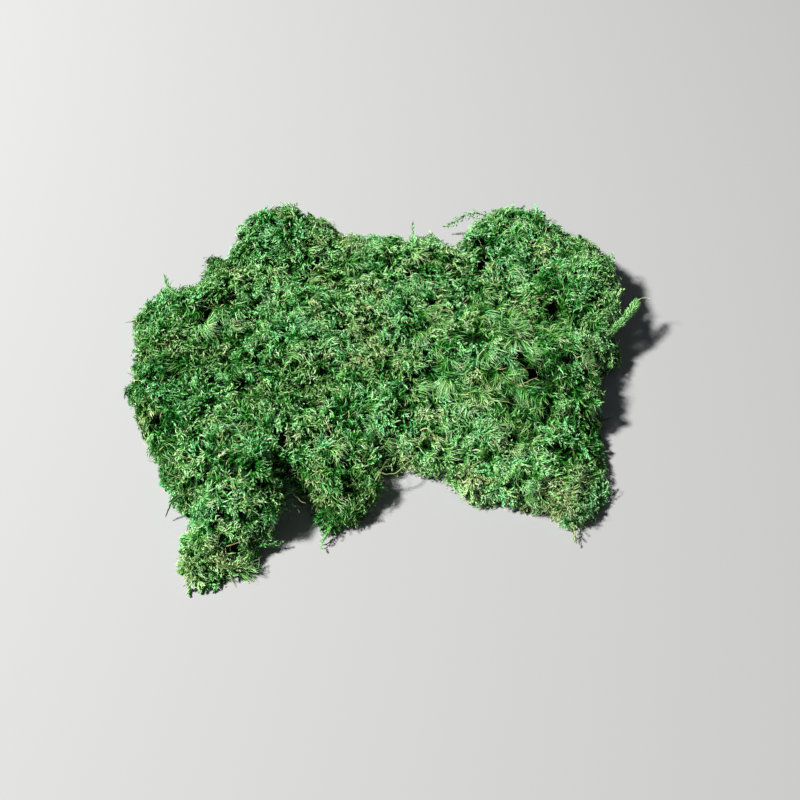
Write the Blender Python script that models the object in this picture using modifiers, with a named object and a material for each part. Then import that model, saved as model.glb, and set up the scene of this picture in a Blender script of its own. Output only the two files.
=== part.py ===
"""Moss clump: one torn mat of green moss, lying flat, with the sprigs and bare stems that stand clear of it.

The mat is modelled as it grows: a felt of old stems in the middle, soft cushions on it, and tufts of
shoots crowding every cushion and fringing the rim. They are fused into one closed body that reaches the
leaf tips. Sprigs and stems are plants of their own, and each sits in a socket in the mat.
Lengths are in metres, +X is right, +Y is away from the viewer and +Z is up.
"""

import math
import random

import bmesh
import bpy
from mathutils import Matrix, Vector
from mathutils.bvhtree import BVHTree

MM = 0.001

# The felt of old stems that everything grows from, as layers: inset from the leaf tips, bottom and top
FELT = {
    "felt_base": (8 * MM, -4 * MM, 9 * MM),
    "felt_middle": (12 * MM, 4 * MM, 15 * MM),
    "felt_top": (19 * MM, 10 * MM, 19.5 * MM),
}

# Tufts of shoots, as blunt spindles
TUFT_WIDTH = 13 * MM
TUFT_LENGTH = 20 * MM
TUFT_PITCH = 14 * MM
TUFT_STAND = (0.12, 0.36)  # the share of a tuft that stands out of its cushion
RIM_TUFT_PITCH = 11 * MM
RIM_TUFT_STAND = (0.22, 0.45)
RIM_TUFT_HEIGHTS = (5 * MM, 14 * MM, 24 * MM)
COMBED = Vector((0.35, -0.45, 0.0))  # the way the whole mat was brushed down

# Sizes of the fused surface
VOXEL = 1.5 * MM
MAT_TRIANGLES = 6000
LEAVES_IN_WHORL = 3
BARE_ROOT = 0.2  # the share of a sprig, from its root, that has no leaves
SPRIG_VOXEL = 0.55 * MM
SPRIG_TRIANGLES = 240
SOCKET_GAP = 0.48 * MM  # round a sprig or stem in its socket: 0.3 mm where its facets are widest apart

# The torn outline at the leaf tips, from the left end round by the front, in millimetres
RIM = (
    # left end
    (-167, 70), (-170, 44), (-167, 12), (-160, -14), (-148, -34),
    # narrow neck and the flap in front of it
    (-132, -52), (-121, -66), (-122, -82), (-125, -95), (-117, -106), (-106, -112), (-90, -113), (-78, -110),
    (-76, -92), (-74, -74),
    # dark bay beside the flap
    (-76, -60), (-66, -53), (-56, -58),
    # middle tongue
    (-50.5, -71), (-46, -82), (-30, -79), (-23, -66), (-12, -52), (3, -46),
    # long front edge
    (22, -52), (42, -62), (64, -69), (86, -78), (104, -79), (116, -68),
    # right end
    (123, -44), (123, -14), (126, 14), (134, 37), (139, 60), (144, 82), (142, 106),
    # back edge, with a notch right of the middle
    (132, 126), (112, 136), (88, 147), (66, 150), (50, 142), (40, 126), (26, 130), (-2, 129),
    (-30, 132), (-52, 144), (-74, 150), (-94, 148), (-108, 132), (-118, 110), (-138, 94), (-156, 86),
)

# Cushions: centre x, y, half length along x, half length along y, height of the top, all in millimetres
CUSHION_CROWN = 0.55  # the share of a cushion's height that lies above its widest level
CUSHIONS = {
    "back_right": (74, 112, 33, 28, 30),
    "right_back": (110, 78, 26, 38, 34),
    "right_middle": (94, 14, 22, 34, 31),
    "broom_middle": (58, 32, 34, 34, 27),
    "front_right": (86, -42, 26, 26, 25),
    "broom_front": (46, -22, 33, 29, 24),
    "centre": (6, 62, 38, 40, 25),
    "centre_front": (-5, -1, 34, 34, 22),
    "back_middle": (-6, 101, 36, 19, 21),
    "back_left": (-76, 115, 31, 28, 30),
    "left_back": (-102, 72, 32, 30, 25),
    "left_end": (-132, 38, 26, 34, 24),
    "centre_left": (-55, 42, 36, 38, 26),
    "left_front": (-118, -11, 28, 24, 21),
    "neck": (-78, -15, 31, 29, 23),
    "tongue": (-36, -43, 22, 26, 19),
    "tongue_tip": (-35, -67, 11, 9, 13),
    "flap_top": (-90, -62, 21, 26, 36),
    "flap_tip": (-96, -82, 19, 18, 25),
}

# Dark pits between the tufts: centre x, y, half length, half width, turn in degrees, height of the floor.
# Lengths here are in millimetres too.
PITS = (
    (83, 20, 10, 6, 80, 6), (73, 84, 8, 5, 60, 10), (54, 99, 7, 5, 20, 9), (-123, 86, 10, 5, 70, 5),
    (-24, 73, 8, 5, 130, 9), (24, 110, 8, 5, 100, 8), (-121, 57, 8, 5, 60, 9), (94, 57, 10, 5, 95, 11),
    (103, -25, 8, 4, 110, 8), (-61, 3, 8, 4, 20, 9), (38, 22, 7, 4, 150, 10), (-13, -34, 8, 4, 120, 8),
)
PIT_HALF_HEIGHT = 26

# Thin places, where the mat runs out low on the ground: centre x, y and reach in millimetres, and the share of
# its height that the mat loses at the centre
THIN_PLACES = ((-88, -112, 34, 0.66), (122, -46, 38, 0.5), (114, -74, 16, 0.5), (-34, -76, 17, 0.35))

# Leafy sprigs that stand clear of the mat: width, then the stem's line from root to tip, all in millimetres
SPRIGS = {
    "sprig_right": (5.6, ((119, 37, 12), (123, 39, 16), (127, 42, 19.5), (132, 46, 21.5), (137.5, 51.5, 22.5),
                          (144, 59, 23), (149, 66.5, 23))),
    "sprig_left": (4.2, ((-130, 71, 14), (-137, 73, 18), (-144, 76, 19), (-148, 81, 20), (-150, 87, 22))),
    "sprig_back": (3.8, ((66, 134, 14), (58, 141, 18), (50, 144, 18), (42, 144, 14), (36, 143, 10),
                         (31, 142, 7))),
    "sprig_notch": (3.2, ((4, 104, 12), (7, 112, 18), (8, 117, 24), (8, 124, 31))),
    "sprig_flap": (3.8, ((-86, -95, 6), (-79, -93, 7), (-73, -91, 6), (-67, -90, 5))),
    "sprig_tongue": (4.0, ((-37, -72, 8), (-39, -78, 7), (-41, -84, 5), (-45, -91, 3))),
    "sprig_front": (3.6, ((95, -67, 5.5), (96, -75, 6), (98, -82, 4.5), (98, -88, 3))),
}

# Bare old stems: thickness, then the line from root to tip, all in millimetres
STEMS = {
    "bare_stem_bay": (1.5, ((-78, -53, 13), (-71, -60, 13), (-67, -63.5, 13), (-64, -64, 13), (-61.5, -62, 13.5),
                            (-59, -65, 14), (-56.5, -67.5, 13), (-53, -68, 11.5))),
    "bare_stem_tongue": (1.2, ((9, -38, 12), (3, -46, 13), (-4, -50.5, 14.5), (-10, -52, 15.5), (-14, -55, 15),
                               (-17.5, -60, 13), (-22, -65, 10))),
    "bare_stem_flap": (1.3, ((-111, -68, 9), (-118, -65, 12), (-123, -64, 13), (-128, -67, 11), (-131, -70, 8),
                             (-133, -73, 4))),
}

SEED = 7


def clear_scene():
    for old in list(bpy.data.objects):
        bpy.data.objects.remove(old, do_unlink=True)


def collection(name):
    made = bpy.data.collections.new(name)
    bpy.context.scene.collection.children.link(made)
    return made


def finish_of(name, colour, roughness):
    made = bpy.data.materials.new(name)
    made.use_nodes = True
    shader = made.node_tree.nodes["Principled BSDF"]
    shader.inputs["Base Color"].default_value = (*colour, 1.0)
    shader.inputs["Roughness"].default_value = roughness
    shader.inputs["Metallic"].default_value = 0.0
    return made


def metres(point):
    return Vector([c * MM for c in point])


def mesh_object(name, mesh, home):
    made = bpy.data.objects.new(name, mesh)
    home.objects.link(made)
    return made


def settle(piece):
    """Makes the piece's modifiers part of its mesh."""
    graph = bpy.context.evaluated_depsgraph_get()
    made = bpy.data.meshes.new_from_object(piece.evaluated_get(graph))
    piece.modifiers.clear()
    old = piece.data
    piece.data = made
    if old.users == 0 and isinstance(old, bpy.types.Mesh):
        bpy.data.meshes.remove(old)


def keep_largest(mesh):
    """Drops every loose island but the one with most faces: crumbs, and the walls of closed air bubbles."""
    bm = bmesh.new()
    bm.from_mesh(mesh)
    unseen = set(bm.faces)
    islands = []
    while unseen:
        island = {unseen.pop()}
        border = list(island)
        while border:
            near = {f for face in border for e in face.edges for f in e.link_faces} & unseen
            unseen -= near
            island |= near
            border = list(near)
        islands.append(island)
    largest = max(islands, key=len)
    spare = [face for face in bm.faces if face not in largest]
    bmesh.ops.delete(bm, geom=spare, context="FACES")
    bm.to_mesh(mesh)
    bm.free()


def grow_together(piece, voxel):
    """Turns overlapping shapes into one skin."""
    remesh = piece.modifiers.new("Grown together", "REMESH")
    remesh.mode = "VOXEL"
    remesh.voxel_size = voxel
    settle(piece)
    keep_largest(piece.data)


def soften_and_thin(piece, triangles):
    """Rounds the skin a little and thins it to the wanted number of triangles."""
    soften = piece.modifiers.new("Soften", "SMOOTH")
    soften.factor = 0.5
    soften.iterations = 3
    settle(piece)
    faces = sum(len(face.vertices) - 2 for face in piece.data.polygons)
    thin = piece.modifiers.new("Thin", "DECIMATE")
    thin.ratio = min(1.0, triangles / faces)
    settle(piece)


def cut_away(piece, cutter):
    """Takes the cutter's space out of the piece. The exact solver opens seams in so rough a skin."""
    cut = piece.modifiers.new(f"Cut by {cutter.name}", "BOOLEAN")
    cut.operation = "DIFFERENCE"
    cut.solver = "MANIFOLD"
    cut.object = cutter
    settle(piece)


def as_helper(piece):
    piece.hide_render = True
    piece.display_type = "WIRE"
    return piece


def spindle(bm, centre, axis, width, length):
    """Adds a blunt spindle of shoots, length long and width thick, along axis."""
    turn = axis.to_track_quat("Z", "Y").to_matrix().to_4x4()
    size = Matrix.Diagonal((width / 2, width / 2, length / 2, 1.0))
    bmesh.ops.create_icosphere(bm, subdivisions=2, radius=1.0, matrix=Matrix.Translation(centre) @ turn @ size)


def felt_layer(name, inset, bottom, top, home):
    """The torn outline as a flat curve, set in from the leaf tips, as thick as its layer of felt."""
    curve = bpy.data.curves.new(name, "CURVE")
    curve.dimensions = "2D"
    curve.fill_mode = "BOTH"
    curve.resolution_u = 4
    curve.extrude = (top - bottom) / 2
    curve.offset = -inset
    line = curve.splines.new("BEZIER")
    line.bezier_points.add(len(RIM) - 1)
    for knot, (x, y) in zip(line.bezier_points, RIM):
        knot.co = (x * MM, y * MM, 0.0)
        knot.handle_left_type = knot.handle_right_type = "AUTO"
    line.use_cyclic_u = True
    layer = bpy.data.objects.new(name, curve)
    layer.location.z = (top + bottom) / 2
    home.objects.link(layer)
    return layer


def add_felt(bm, home):
    """Adds the felt's layers, each welded into a closed slab in its place."""
    for name, (inset, bottom, top) in FELT.items():
        layer = felt_layer(name, inset, bottom, top, home)
        bpy.context.view_layer.update()
        graph = bpy.context.evaluated_depsgraph_get()
        mesh = bpy.data.meshes.new_from_object(layer.evaluated_get(graph))
        mesh.transform(layer.matrix_world)
        bm.from_mesh(mesh)
        bpy.data.objects.remove(layer)
        bpy.data.meshes.remove(mesh)
    bmesh.ops.remove_doubles(bm, verts=bm.verts, dist=0.05 * MM)
    bmesh.ops.recalc_face_normals(bm, faces=bm.faces)


def add_cushions(bm):
    for cx, cy, rx, ry, top in CUSHIONS.values():
        centre = metres((cx, cy, (1 - CUSHION_CROWN) * top))
        size = Matrix.Diagonal((rx * MM, ry * MM, CUSHION_CROWN * top * MM, 1.0))
        bmesh.ops.create_icosphere(bm, subdivisions=4, radius=1.0, matrix=Matrix.Translation(centre) @ size)


def add_tufts(bm, chance):
    """Crowds the top with tufts on a jittered hexagonal grid, leaning outward and the way it was combed."""
    ground = BVHTree.FromBMesh(bm)
    above = 100 * MM
    xs = [x * MM for x, _ in RIM]
    ys = [y * MM for _, y in RIM]
    row_height = TUFT_PITCH * math.sin(math.radians(60))
    rows = int((max(ys) - min(ys)) / row_height) + 1
    columns = int((max(xs) - min(xs)) / TUFT_PITCH) + 1
    for row in range(rows):
        for column in range(columns):
            x = min(xs) + (column + 0.5 * (row % 2) + chance.uniform(-0.3, 0.3)) * TUFT_PITCH
            y = min(ys) + row * row_height + chance.uniform(-0.3, 0.3) * TUFT_PITCH
            lean = Vector((chance.uniform(-1, 1), chance.uniform(-1, 1), 0.0)) * 0.5
            size = chance.uniform(0.75, 1.2)
            stand = chance.uniform(*TUFT_STAND)
            spot, normal, _, _ = ground.ray_cast(Vector((x, y, above)), Vector((0, 0, -1)))
            if spot is None:
                continue
            axis = (normal + Vector((0, 0, 0.3)) + COMBED + lean).normalized()
            length = TUFT_LENGTH * size
            spindle(bm, spot + axis * (stand * length - length / 2), axis, TUFT_WIDTH * size, length)


def add_rim_tufts(bm, chance):
    """Fringes the sides with rows of tufts, each where a level ray inward from the rim meets the cushions."""
    ground = BVHTree.FromBMesh(bm)
    away = 60 * MM
    for index, corner in enumerate(RIM):
        start, end = metres((*corner, 0)), metres((*RIM[(index + 1) % len(RIM)], 0))
        along = (end - start).normalized()
        outward = Vector((along.y, -along.x, 0.0))
        steps = max(1, round((end - start).length / RIM_TUFT_PITCH))
        for step in range(steps):
            for height in RIM_TUFT_HEIGHTS:
                rim_spot = start.lerp(end, (step + chance.uniform(0.2, 0.8)) / steps)
                rim_spot.z = height + chance.uniform(-2, 2) * MM
                sway = along * chance.uniform(-0.5, 0.5) + Vector((0, 0, chance.uniform(-0.3, 0.4)))
                size = chance.uniform(0.7, 1.0)
                stand = chance.uniform(*RIM_TUFT_STAND)
                spot, _, _, _ = ground.ray_cast(rim_spot + outward * away, -outward)
                if spot is None or (spot - rim_spot).length > away / 2:
                    continue
                axis = (outward + sway).normalized()
                length = TUFT_LENGTH * size
                spindle(bm, spot + axis * (stand * length - length / 2), axis, TUFT_WIDTH * size, length)


def pits(home):
    """The cutter for the dark pits, as one object of separate upright spindles."""
    bm = bmesh.new()
    for x, y, length, width, turn, floor in PITS:
        centre = Matrix.Translation(metres((x, y, floor + PIT_HALF_HEIGHT)))
        size = Matrix.Diagonal((length * MM, width * MM, PIT_HALF_HEIGHT * MM, 1.0))
        place = centre @ Matrix.Rotation(math.radians(turn), 4, "Z") @ size
        bmesh.ops.create_icosphere(bm, subdivisions=3, radius=1.0, matrix=place)
    mesh = bpy.data.meshes.new("pits")
    bm.to_mesh(mesh)
    bm.free()
    return as_helper(mesh_object("pits", mesh, home))


def ground_block(home):
    """The cutter under the mat, which leaves the flat face that it rests on."""
    reach, depth = 0.5, 0.05
    bm = bmesh.new()
    size = Matrix.Diagonal((reach, reach, depth, 1.0))
    bmesh.ops.create_cube(bm, size=1.0, matrix=Matrix.Translation((0, 0, -depth / 2)) @ size)
    mesh = bpy.data.meshes.new("ground_block")
    bm.to_mesh(mesh)
    bm.free()
    return as_helper(mesh_object("ground_block", mesh, home))


def press_thin_places(mesh):
    """Lowers the mat where it runs out thin, most at each place's centre and smoothly less around it."""
    for vertex in mesh.vertices:
        lost = 0.0
        for x, y, reach, share in THIN_PLACES:
            away = math.hypot(vertex.co.x / MM - x, vertex.co.y / MM - y) / reach
            lost = max(lost, share * math.exp(-away * away))
        vertex.co.z *= 1 - lost


def moss_mat(home, helpers, finish):
    chance = random.Random(SEED)
    bm = bmesh.new()
    add_felt(bm, helpers)
    add_cushions(bm)
    add_tufts(bm, chance)
    add_rim_tufts(bm, chance)
    mesh = bpy.data.meshes.new("moss_mat")
    bm.to_mesh(mesh)
    bm.free()
    mat = mesh_object("moss_mat", mesh, home)
    mat.data.materials.append(finish)
    grow_together(mat, VOXEL)
    cut_away(mat, pits(helpers))
    press_thin_places(mat.data)
    grow_together(mat, VOXEL)  # again, because the thinning tears at the pits' sharp brims
    soften_and_thin(mat, MAT_TRIANGLES)
    cut_away(mat, ground_block(helpers))
    keep_largest(mat.data)
    return mat


def smooth_points(line, steps):
    """Evenly numbered points of a smooth curve through the line's own points (Catmull-Rom)."""
    knots = [2 * line[0] - line[1], *line, 2 * line[-1] - line[-2]]
    points = []
    for a, b, c, d in zip(knots, knots[1:], knots[2:], knots[3:]):
        for step in range(steps):
            t = step / steps
            bend = (2 * a - 5 * b + 4 * c - d) * t**2 + (3 * b - a - 3 * c + d) * t**3
            points.append(0.5 * (2 * b + (c - a) * t + bend))
    points.append(line[-1])
    return points


def leafy_sprig(name, width, line, home, finish, chance):
    """A bare root end, then whorls of overlapping leaves up to a blunt tip, fused into one body."""
    points = smooth_points([metres(p) for p in line], 3)
    bm = bmesh.new()
    turn = 0.0
    for index, (here, following) in enumerate(zip(points, points[1:])):
        step = following - here
        ahead = step.normalized()
        share = index / (len(points) - 1)
        fullness = min(1.0, 0.35 + 1.6 * share) * (1.0 if share < 0.8 else 0.85)
        thick = width * MM * fullness
        spindle(bm, here + step / 2, ahead, thick * 0.8, step.length + thick * 1.4)
        if share < BARE_ROOT:
            continue
        for leaf in range(LEAVES_IN_WHORL):
            angle = turn + math.tau * leaf / LEAVES_IN_WHORL + chance.uniform(-0.25, 0.25)
            aside = Matrix.Rotation(angle, 3, ahead) @ ahead.orthogonal().normalized()
            axis = (ahead + aside * 0.8).normalized()
            spindle(bm, here + aside * 0.27 * thick + ahead * 0.5 * thick, axis, thick * 0.5, thick * 1.25)
        turn += math.pi / LEAVES_IN_WHORL
    mesh = bpy.data.meshes.new(name)
    bm.to_mesh(mesh)
    bm.free()
    sprig = mesh_object(name, mesh, home)
    sprig.data.materials.append(finish)
    grow_together(sprig, SPRIG_VOXEL)
    soften_and_thin(sprig, SPRIG_TRIANGLES)
    return sprig


def bare_stem(name, thickness, line, home, finish):
    """An old leafless stem: a round wire along a smooth line."""
    curve = bpy.data.curves.new(name, "CURVE")
    curve.dimensions = "3D"
    curve.bevel_depth = thickness * MM / 2
    curve.bevel_resolution = 1
    curve.use_fill_caps = True
    points = smooth_points([metres(p) for p in line], 2)
    wire = curve.splines.new("POLY")
    wire.points.add(len(points) - 1)
    for knot, point in zip(wire.points, points):
        knot.co = (*point, 1.0)
    stem = bpy.data.objects.new(name, curve)
    stem.data.materials.append(finish)
    home.objects.link(stem)
    return stem


def grown_copy(plant, gap, name, helpers):
    """A cutter with the plant's shape, a gap wider all round."""
    graph = bpy.context.evaluated_depsgraph_get()
    mesh = bpy.data.meshes.new_from_object(plant.evaluated_get(graph))
    bm = bmesh.new()
    bm.from_mesh(mesh)
    bmesh.ops.remove_doubles(bm, verts=bm.verts, dist=0.01 * MM)
    bmesh.ops.recalc_face_normals(bm, faces=bm.faces)
    bm.normal_update()
    grown = [vertex.co + vertex.normal * gap for vertex in bm.verts]
    for vertex, place in zip(bm.verts, grown):
        vertex.co = place
    bm.to_mesh(mesh)
    bm.free()
    return as_helper(mesh_object(name, mesh, helpers))


def socket(mat, plant, helpers):
    """Opens the mat where a sprig or stem is rooted in it, a gap wider than the plant all round."""
    bpy.context.view_layer.update()
    cut_away(mat, grown_copy(plant, SOCKET_GAP, f"{plant.name}_socket", helpers))
    # the wide cutter folds over itself between leaves, so a narrower one takes out the slivers it leaves there
    cut_away(mat, grown_copy(plant, SOCKET_GAP / 2, f"{plant.name}_inner_socket", helpers))


def stand_on_origin(pieces):
    """Moves everything so that the origin is under the middle of the whole clump's box."""
    bpy.context.view_layer.update()
    graph = bpy.context.evaluated_depsgraph_get()
    places = []
    for piece in pieces:
        shape = piece.evaluated_get(graph)
        places += [shape.matrix_world @ vertex.co for vertex in shape.to_mesh().vertices]
        shape.to_mesh_clear()
    low = [min(place[axis] for place in places) for axis in range(3)]
    high = [max(place[axis] for place in places) for axis in range(3)]
    shift = Vector((-(low[0] + high[0]) / 2, -(low[1] + high[1]) / 2, -low[2]))
    for piece in pieces:
        piece.location += shift
    print("clump box, mm:", [round((top - foot) / MM, 1) for foot, top in zip(low, high)])
    print("moved by, mm:", [round(step / MM, 2) for step in shift])


def main():
    clear_scene()
    clump = collection("moss_clump")
    helpers = collection("helpers")
    moss_green = finish_of("moss_green", (0.05, 0.17, 0.035), 0.75)
    fresh_green = finish_of("fresh_green", (0.07, 0.26, 0.05), 0.7)
    old_stem = finish_of("old_stem", (0.34, 0.25, 0.13), 0.7)
    chance = random.Random(SEED + 1)
    mat = moss_mat(clump, helpers, moss_green)
    plants = [leafy_sprig(n, w, line, clump, fresh_green, chance) for n, (w, line) in SPRIGS.items()]
    plants += [bare_stem(n, w, line, clump, old_stem) for n, (w, line) in STEMS.items()]
    for plant in plants:
        socket(mat, plant, helpers)
    keep_largest(mat.data)
    stand_on_origin([mat, *plants])


main()
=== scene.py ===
# %% [markdown]
# # A torn mat of moss, dressed for its picture
#
# The CAD part gives the clump its form: cushions, pits, flap, tongue and fringe, and a few loose sprigs
# and old stems. This lesson grows the living surface on it: thousands of leafy strands, broom-like tufts,
# dead leaves and hairs. A real mat is layered. Brown felt lies at the bottom, and the green shoots stand
# in it and arch over one another like shingles. We build it in the same order.

import math

import bmesh
import bpy
import numpy as np
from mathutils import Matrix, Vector


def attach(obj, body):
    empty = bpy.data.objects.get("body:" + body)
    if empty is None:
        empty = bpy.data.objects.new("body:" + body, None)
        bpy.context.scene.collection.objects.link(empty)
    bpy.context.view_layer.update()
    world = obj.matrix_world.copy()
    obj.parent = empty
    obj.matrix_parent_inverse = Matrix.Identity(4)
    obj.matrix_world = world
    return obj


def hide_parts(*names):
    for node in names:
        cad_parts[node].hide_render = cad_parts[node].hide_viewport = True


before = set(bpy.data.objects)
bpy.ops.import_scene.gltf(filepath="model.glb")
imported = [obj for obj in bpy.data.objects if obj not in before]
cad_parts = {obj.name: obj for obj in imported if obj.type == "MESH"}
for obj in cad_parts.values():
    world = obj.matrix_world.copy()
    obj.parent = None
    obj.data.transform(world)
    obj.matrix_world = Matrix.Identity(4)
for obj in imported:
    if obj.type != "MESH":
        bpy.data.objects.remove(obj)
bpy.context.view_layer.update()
print("nodes:", sorted(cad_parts))

# %% [markdown]
# ## A table to photograph it on
#
# The clump is lit as on a bright day: one lamp high at the left, a little soft at its edge, and a faint
# sky. Moss is mostly small shadows, so the fill stays weak. A long lens from above the front edge gives
# the angle of a person who looks down at the ground. Standard colours keep the greens strong. Three short
# tools come first, because every piece below uses them.

# %% Three short tools for the scene
MM = 0.001
scene = bpy.context.scene


def add(name, data):
    """A new object for a mesh, camera or lamp, linked to the scene."""
    made = bpy.data.objects.new(name, data)
    scene.collection.objects.link(made)
    return made


def set_inputs(node, **values):
    """Sets a node's own sockets. An underscore stands for the space in a socket's name."""
    for name, value in values.items():
        node.inputs[name.replace("_", " ")].default_value = value


def new_paint(name):
    """A node material, its tree and its shader."""
    made = bpy.data.materials.new(name)
    made.use_nodes = True
    return made, made.node_tree, made.node_tree.nodes["Principled BSDF"]


# %% Camera, lamp, sky and floor
AIM_AT = Vector((0.00882, -0.01804, 0.012))
LOOK_DOWN = math.radians(58)
DISTANCE = 0.60
LAMP_AT = Vector((-2.12, 0.20, 2.32))
CLEAR = 0.1 * MM  # the floor lies so far under the ground's level, and the lowest leaf so far above it
HALF_FLOOR = 2

scene.view_settings.view_transform = "Standard"
scene.view_settings.look = "None"
back = Vector((0, -math.cos(LOOK_DOWN), math.sin(LOOK_DOWN)))
camera = add("camera", bpy.data.cameras.new("camera"))
camera.data.lens = 45
camera.data.sensor_width = 36
camera.location = AIM_AT + back * DISTANCE
camera.rotation_euler = (-back).to_track_quat("-Z", "Y").to_euler()
scene.camera = camera

lamp = add("lamp", bpy.data.lights.new("lamp", "AREA"))
lamp.data.shape = "DISK"
lamp.data.size = 0.40
lamp.data.energy = 267
lamp.data.color = (1.0, 0.98, 0.955)
lamp.location = LAMP_AT
lamp.rotation_euler = (-LAMP_AT).to_track_quat("-Z", "Y").to_euler()

scene.world = bpy.data.worlds.new("sky")
scene.world.use_nodes = True
set_inputs(scene.world.node_tree.nodes["Background"], Color=(0.86, 0.93, 1.0, 1), Strength=0.08)


def plain_floor():
    """A matt square of 4 m, just under the moss, so that it never flickers with the felt."""
    mesh = bpy.data.meshes.new("floor")
    corners = [(HALF_FLOOR * x, HALF_FLOOR * y, -CLEAR) for x, y in ((-1, -1), (1, -1), (1, 1), (-1, 1))]
    mesh.from_pydata(corners, [], [(0, 1, 2, 3)])
    paint, _, shader = new_paint("pale floor")
    set_inputs(shader, Base_Color=(0.337, 0.343, 0.348, 1), Roughness=1.0, Specular_IOR_Level=0.1)
    mesh.materials.append(paint)
    add("floor", mesh)


plain_floor()
print("camera at", [round(x, 3) for x in camera.location])

# %% [markdown]
# ## Number tools
#
# Every piece below is worked out as whole arrays: one row for a shoot, one column for a place along it. A
# few small tools are enough: unit vectors, a soft random field, arching centre lines, and a look-up that
# gives the place and the direction at any fraction of a line.

# %% Small array tools
rng = np.random.default_rng(11)


def unit(v):
    """Each vector divided by its own length."""
    return v / np.maximum(np.linalg.norm(v, axis=-1, keepdims=True), 1e-12)


def dot(a, b):
    """The dot product of each pair of vectors, kept as a column."""
    return (a * b).sum(axis=-1, keepdims=True)


def square_to(v, n):
    """What is left of v at right angles to the unit vectors n, as unit vectors."""
    return unit(v - dot(v, n) * n)


WAVES = 14


def cloud(points, size, seed):
    """A soft random field of mean 0 and spread 1: the sum of 14 plane waves about `size` long."""
    r = np.random.default_rng(seed)
    k = unit(r.normal(size=(WAVES, 3))) * r.uniform(0.7, 1.5, (WAVES, 1)) * 2 * np.pi / size
    phase = r.uniform(0, 2 * np.pi, WAVES)
    return np.sin(points @ k.T + phase).sum(axis=-1) / np.sqrt(WAVES / 2)


def arching_lines(root, start, end, length, steps, sway=None):
    """Centre lines. The direction turns evenly from `start` to `end`, and `sway` bends it to and fro."""
    s = np.linspace(0, 1, steps)[None, :, None]
    aim = start[:, None] * (1 - s) + end[:, None] * s
    if sway is not None:
        aim = aim + sway[:, None] * np.sin(2.2 * np.pi * s + 0.6)
    steps_taken = unit(aim) * (length / steps)[:, None, None]
    return np.concatenate([root[:, None], root[:, None] + np.cumsum(steps_taken, axis=1)], axis=1)


ALMOST_ONE = 0.9999  # so that the last place on a line still has a station after it


def along(lines, t):
    """The points and directions at the fractions t of each line, by sliding between neighbours."""
    last = lines.shape[1] - 1
    x = np.clip(t, 0, ALMOST_ONE) * last
    i = x.astype(int)
    row = np.arange(len(lines))[:, None]
    a, b = lines[row, i], lines[row, i + 1]
    return a + (b - a) * (x - i)[..., None], unit(b - a)


# %% [markdown]
# ## The form to grow on
#
# The CAD mat holds loose triangles, so a copy is merged first. Shoots need a direction to stand in, and
# the raw faces are too jagged for that: the normals are averaged over a few rings of neighbours. Points
# are then scattered evenly, each face by its area.

# %% Merge a copy of the mat and smooth its normals
def merged(node):
    """A copy of a CAD node's mesh with its doubles merged, as arrays of vertices and triangles."""
    bm = bmesh.new()
    bm.from_mesh(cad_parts[node].data)
    bmesh.ops.remove_doubles(bm, verts=bm.verts, dist=1e-6)
    bmesh.ops.triangulate(bm, faces=bm.faces)
    mesh = bpy.data.meshes.new(node + "_copy")
    bm.to_mesh(mesh)
    bm.free()
    v = np.empty((len(mesh.vertices), 3))
    mesh.vertices.foreach_get("co", v.ravel())
    f = np.empty((len(mesh.polygons), 3), np.int64)
    mesh.polygons.foreach_get("vertices", f.ravel())
    bpy.data.meshes.remove(mesh)
    return v, f


UNDERSIDE = 0.6 * MM  # faces that lie wholly lower belong to the flat underside
NEIGHBOURS = 6  # of a vertex, on average


def soft_normals(v, f, rings):
    """Vertex normals, weighted by area, then averaged with their neighbours' `rings` times. The flat
    underside is left out, or it would turn the foot of the rim downwards."""
    across = np.cross(v[f[:, 1]] - v[f[:, 0]], v[f[:, 2]] - v[f[:, 0]])
    across[v[f][:, :, 2].max(axis=1) < UNDERSIDE] *= 1e-6
    n = np.zeros_like(v)
    for corner in range(3):
        np.add.at(n, f[:, corner], across)
    edges = np.concatenate([f[:, [0, 1]], f[:, [1, 2]], f[:, [2, 0]]])
    for _ in range(rings):
        total = n.copy()
        np.add.at(total, edges[:, 0], n[edges[:, 1]])
        n = total / (NEIGHBOURS + 1)
    return unit(n)


mat_v, mat_f = merged("moss_mat")
mat_n = soft_normals(mat_v, mat_f, 5)
print("mat:", len(mat_v), "vertices,", len(mat_f), "triangles")

# %% Scatter points over it
corner = mat_v[mat_f]
face_size = np.linalg.norm(np.cross(corner[:, 1] - corner[:, 0], corner[:, 2] - corner[:, 0]), axis=1)
face_up = mat_n[mat_f].mean(axis=1)[:, 2]
LOWEST_ROOT = 1.2 * MM
RIM_EXTRA = 1.0  # how many more points an upright face gets than a level one


def scatter(count, seed, lowest_up=-0.35):
    """Points spread by area over the faces whose soft normal has a z of more than `lowest_up`."""
    r = np.random.default_rng(seed)
    lifted = corner[:, :, 2].mean(axis=1) > LOWEST_ROOT
    chance = face_size * (face_up > lowest_up) * lifted * (1 + RIM_EXTRA * (1 - face_up))
    pick = r.choice(len(mat_f), count, p=chance / chance.sum())
    a, b = r.random(count), r.random(count)
    flip = a + b > 1
    a[flip], b[flip] = 1 - a[flip], 1 - b[flip]
    w = np.stack([1 - a - b, a, b], axis=1)[:, :, None]
    return (corner[pick] * w).sum(axis=1), unit((mat_n[mat_f[pick]] * w).sum(axis=1))


# %% [markdown]
# ## Tufts
#
# Moss doesn't grow as even fur. Shoots stand in tufts a few millimetres wide, lean the same way and share
# their colour, and dark gaps part the tufts. So tufts come first: one point is kept in each small cell of
# space, and each gets a lean, a tint and a kind. Two kinds grow here: curly feather moss nearly
# everywhere, and a fine broom-like moss in one broad patch at the right of the middle.

# %% Where the mat has gaps, painted light and shade, or broom moss
# from the places measured in the picture to the part's own origin (mm)
SHIFT = np.array([8.82, -18.04, 0.0])

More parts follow.
